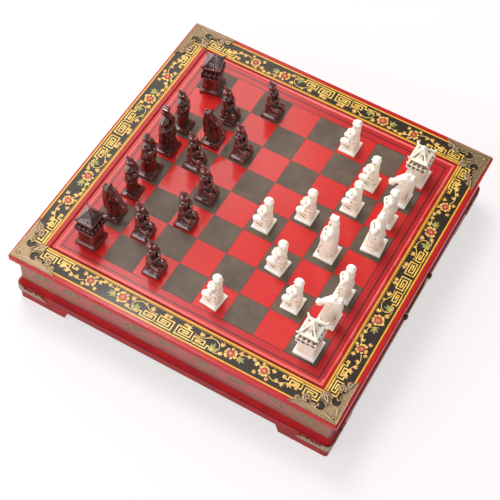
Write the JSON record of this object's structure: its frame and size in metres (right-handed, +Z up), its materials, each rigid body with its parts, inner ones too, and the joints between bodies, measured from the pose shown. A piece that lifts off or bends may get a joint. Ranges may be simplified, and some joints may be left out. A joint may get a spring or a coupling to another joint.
{
  "type": "chess box with figure set",
  "caption": "Lacquered wooden box with a playing board on top, two drawers with drop pulls, brass corners, bracket feet, and carved figures in play on the squares.",
  "frame": {"origin": "on the floor under the middle of the box", "axes": "+Z up, +X towards the right drawer, -Y towards the front panel"},
  "size_m": [0.317, 0.312, 0.1195],
  "materials": {
    "painted_border": "dark lacquer painted with a gold key pattern, vines and blossoms",
    "playing_board": "red lacquer with dark printed squares, glossy",
    "side_panel": "faded painted leather cloth over board",
    "red_lacquer": "deep red lacquer, glossy",
    "bare_board": "plain fibreboard",
    "lining": "thin satin cloth",
    "brass_sheet": "antiqued stamped brass, dull",
    "brass_pull": "antiqued cast brass, dark in the hollows",
    "dark_resin": "cast resin, dark maroon, polished",
    "ivory_resin": "cast resin, ivory with brown in the hollows"
  },
  "bodies": {
    "case": {"top_rail_front": "painted_border", "top_rail_back": "painted_border", "top_rail_right": "painted_border", "top_rail_left": "painted_border", "board_panel": "playing_board", "corner_plates": "brass_sheet", "corner_straps": "brass_sheet", "front_panel": "side_panel", "back_panel": "side_panel", "divider": "bare_board", "floor_board": "bare_board", "base_moulding": "red_lacquer", "feet": "red_lacquer"},
    "drawer_left": {"drawer_left_front": "red_lacquer", "drawer_left_sides": "bare_board", "drawer_left_back": "bare_board", "drawer_left_bottom": "bare_board", "drawer_left_lining": "lining", "drawer_left_pull": "brass_pull"},
    "bail_left": {"drawer_left_bail": "brass_pull"},
    "drawer_right": {"drawer_right_front": "red_lacquer", "drawer_right_sides": "bare_board", "drawer_right_back": "bare_board", "drawer_right_bottom": "bare_board", "drawer_right_lining": "lining", "drawer_right_pull": "brass_pull"},
    "bail_right": {"drawer_right_bail": "brass_pull"},
    "dark_king_1": {"dark_king_1": "dark_resin"},
    "dark_queen_1": {"dark_queen_1": "dark_resin"},
    "dark_rook_1": {"dark_rook_1": "dark_resin"},
    "dark_rook_2": {"dark_rook_2": "dark_resin"},
    "dark_knight_1": {"dark_knight_1": "dark_resin"},
    "dark_knight_2": {"dark_knight_2": "dark_resin"},
    "dark_bishop_1": {"dark_bishop_1": "dark_resin"},
    "dark_bishop_2": {"dark_bishop_2": "dark_resin"},
    "dark_pawn_1": {"dark_pawn_1": "dark_resin"},
    "dark_pawn_2": {"dark_pawn_2": "dark_resin"},
    "dark_pawn_3": {"dark_pawn_3": "dark_resin"},
    "dark_pawn_4": {"dark_pawn_4": "dark_resin"},
    "dark_pawn_5": {"dark_pawn_5": "dark_resin"},
    "dark_pawn_6": {"dark_pawn_6": "dark_resin"},
    "dark_pawn_7": {"dark_pawn_7": "dark_resin"},
    "dark_pawn_8": {"dark_pawn_8": "dark_resin"},
    "white_king_1": {"white_king_1": "ivory_resin"},
    "white_queen_1": {"white_queen_1": "ivory_resin"},
    "white_rook_1": {"white_rook_1": "ivory_resin"},
    "white_rook_2": {"white_rook_2": "ivory_resin"},
    "white_knight_1": {"white_knight_1": "ivory_resin"},
    "white_knight_2": {"white_knight_2": "ivory_resin"},
    "white_bishop_1": {"white_bishop_1": "ivory_resin"},
    "white_bishop_2": {"white_bishop_2": "ivory_resin"},
    "white_pawn_1": {"white_pawn_1": "ivory_resin"},
    "white_pawn_2": {"white_pawn_2": "ivory_resin"},
    "white_pawn_3": {"white_pawn_3": "ivory_resin"},
    "white_pawn_4": {"white_pawn_4": "ivory_resin"},
    "white_pawn_5": {"white_pawn_5": "ivory_resin"},
    "white_pawn_6": {"white_pawn_6": "ivory_resin"},
    "white_pawn_7": {"white_pawn_7": "ivory_resin"},
    "white_pawn_8": {"white_pawn_8": "ivory_resin"}
  },
  "joints": [
    {"name": "bail_left", "type": "hinge", "parent": "drawer_left", "child": "bail_left", "pos_m": [-0.15513, 0, 0.045], "axis": [0, 1, 0], "range_deg": [0, 150]},
    {"name": "bail_right", "type": "hinge", "parent": "drawer_right", "child": "bail_right", "pos_m": [0.15513, 0, 0.045], "axis": [0, -1, 0], "range_deg": [0, 150]},
    {"name": "drawer_left", "type": "slide", "parent": "case", "child": "drawer_left", "axis": [-1, 0, 0], "range_m": [0, 0.11]},
    {"name": "drawer_right", "type": "slide", "parent": "case", "child": "drawer_right", "axis": [1, 0, 0], "range_m": [0, 0.11]},
    {"name": "lift_dark_king_1", "type": "slide", "parent": "case", "child": "dark_king_1", "axis": [0, 0, 1], "range_m": [0, 0.06]},
    {"name": "lift_dark_queen_1", "type": "slide", "parent": "case", "child": "dark_queen_1", "axis": [0, 0, 1], "range_m": [0, 0.06]},
    {"name": "lift_dark_rook_1", "type": "slide", "parent": "case", "child": "dark_rook_1", "axis": [0, 0, 1], "range_m": [0, 0.06]},
    {"name": "lift_dark_rook_2", "type": "slide", "parent": "case", "child": "dark_rook_2", "axis": [0, 0, 1], "range_m": [0, 0.06]},
    {"name": "lift_dark_knight_1", "type": "slide", "parent": "case", "child": "dark_knight_1", "axis": [0, 0, 1], "range_m": [0, 0.06]},
    {"name": "lift_dark_knight_2", "type": "slide", "parent": "case", "child": "dark_knight_2", "axis": [0, 0, 1], "range_m": [0, 0.06]},
    {"name": "lift_dark_bishop_1", "type": "slide", "parent": "case", "child": "dark_bishop_1", "axis": [0, 0, 1], "range_m": [0, 0.06]},
    {"name": "lift_dark_bishop_2", "type": "slide", "parent": "case", "child": "dark_bishop_2", "axis": [0, 0, 1], "range_m": [0, 0.06]},
    {"name": "lift_dark_pawn_1", "type": "slide", "parent": "case", "child": "dark_pawn_1", "axis": [0, 0, 1], "range_m": [0, 0.06]},
    {"name": "lift_dark_pawn_2", "type": "slide", "parent": "case", "child": "dark_pawn_2", "axis": [0, 0, 1], "range_m": [0, 0.06]},
    {"name": "lift_dark_pawn_3", "type": "slide", "parent": "case", "child": "dark_pawn_3", "axis": [0, 0, 1], "range_m": [0, 0.06]},
    {"name": "lift_dark_pawn_4", "type": "slide", "parent": "case", "child": "dark_pawn_4", "axis": [0, 0, 1], "range_m": [0, 0.06]},
    {"name": "lift_dark_pawn_5", "type": "slide", "parent": "case", "child": "dark_pawn_5", "axis": [0, 0, 1], "range_m": [0, 0.06]},
    {"name": "lift_dark_pawn_6", "type": "slide", "parent": "case", "child": "dark_pawn_6", "axis": [0, 0, 1], "range_m": [0, 0.06]},
    {"name": "lift_dark_pawn_7", "type": "slide", "parent": "case", "child": "dark_pawn_7", "axis": [0, 0, 1], "range_m": [0, 0.06]},
    {"name": "lift_dark_pawn_8", "type": "slide", "parent": "case", "child": "dark_pawn_8", "axis": [0, 0, 1], "range_m": [0, 0.06]},
    {"name": "lift_white_king_1", "type": "slide", "parent": "case", "child": "white_king_1", "axis": [0, 0, 1], "range_m": [0, 0.06]},
    {"name": "lift_white_queen_1", "type": "slide", "parent": "case", "child": "white_queen_1", "axis": [0, 0, 1], "range_m": [0, 0.06]},
    {"name": "lift_white_rook_1", "type": "slide", "parent": "case", "child": "white_rook_1", "axis": [0, 0, 1], "range_m": [0, 0.06]},
    {"name": "lift_white_rook_2", "type": "slide", "parent": "case", "child": "white_rook_2", "axis": [0, 0, 1], "range_m": [0, 0.06]},
    {"name": "lift_white_knight_1", "type": "slide", "parent": "case", "child": "white_knight_1", "axis": [0, 0, 1], "range_m": [0, 0.06]},
    {"name": "lift_white_knight_2", "type": "slide", "parent": "case", "child": "white_knight_2", "axis": [0, 0, 1], "range_m": [0, 0.06]},
    {"name": "lift_white_bishop_1", "type": "slide", "parent": "case", "child": "white_bishop_1", "axis": [0, 0, 1], "range_m": [0, 0.06]},
    {"name": "lift_white_bishop_2", "type": "slide", "parent": "case", "child": "white_bishop_2", "axis": [0, 0, 1], "range_m": [0, 0.06]},
    {"name": "lift_white_pawn_1", "type": "slide", "parent": "case", "child": "white_pawn_1", "axis": [0, 0, 1], "range_m": [0, 0.06]},
    {"name": "lift_white_pawn_2", "type": "slide", "parent": "case", "child": "white_pawn_2", "axis": [0, 0, 1], "range_m": [0, 0.06]},
    {"name": "lift_white_pawn_3", "type": "slide", "parent": "case", "child": "white_pawn_3", "axis": [0, 0, 1], "range_m": [0, 0.06]},
    {"name": "lift_white_pawn_4", "type": "slide", "parent": "case", "child": "white_pawn_4", "axis": [0, 0, 1], "range_m": [0, 0.06]},
    {"name": "lift_white_pawn_5", "type": "slide", "parent": "case", "child": "white_pawn_5", "axis": [0, 0, 1], "range_m": [0, 0.06]},
    {"name": "lift_white_pawn_6", "type": "slide", "parent": "case", "child": "white_pawn_6", "axis": [0, 0, 1], "range_m": [0, 0.06]},
    {"name": "lift_white_pawn_7", "type": "slide", "parent": "case", "child": "white_pawn_7", "axis": [0, 0, 1], "range_m": [0, 0.06]},
    {"name": "lift_white_pawn_8", "type": "slide", "parent": "case", "child": "white_pawn_8", "axis": [0, 0, 1], "range_m": [0, 0.06]}
  ]
}
